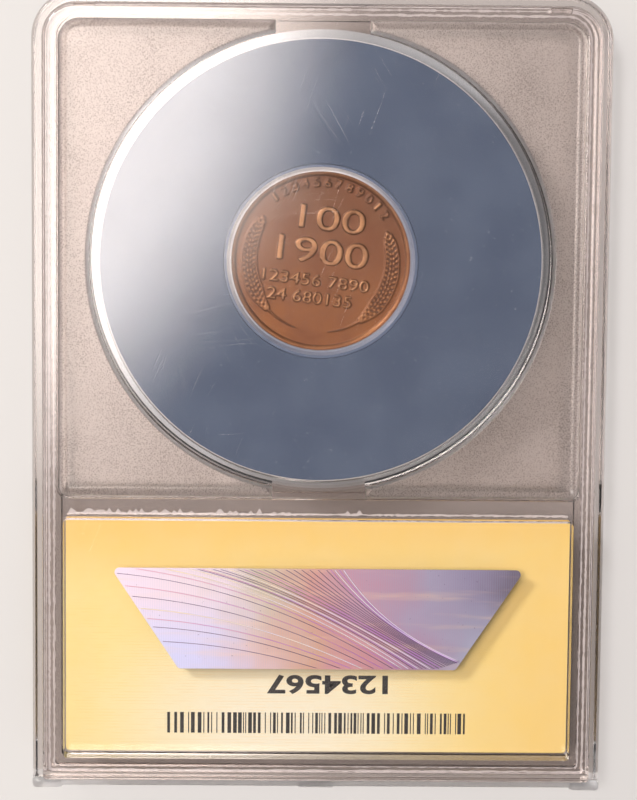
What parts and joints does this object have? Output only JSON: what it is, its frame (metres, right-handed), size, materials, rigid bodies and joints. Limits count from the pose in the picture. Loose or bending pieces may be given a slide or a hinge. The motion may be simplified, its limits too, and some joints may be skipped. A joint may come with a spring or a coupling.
{
  "type": "graded coin slab",
  "caption": "Clear two-shell slab with a small bronze coin in a blue disc, seen through a round window, and a printed label card under a window of its own.",
  "frame": {"origin": "centre of the slab's bounding box in X and Y, on the plane of the front stacking ridge that the slab rests on", "axes": "+X across the slab, +Y towards the coin end, +Z out of the back of the slab"},
  "size_m": [0.0604, 0.0842, 0.0079],
  "materials": {
    "clear_plastic": "polished clear moulding with frosted corner fields",
    "disc_plastic": "smooth matte",
    "gasket_plastic": "soft clear",
    "coin_bronze": "worn brown bronze",
    "label_paper": "printed coated card",
    "sticker_foil": "iridescent diffraction foil"
  },
  "bodies": {
    "root": {"back_shell": "clear_plastic", "front_shell": "clear_plastic", "insert_disc": "disc_plastic", "coin_gasket": "gasket_plastic", "coin": "coin_bronze", "label_card": "label_paper", "hologram_sticker": "sticker_foil"}
  },
  "joints": []
}
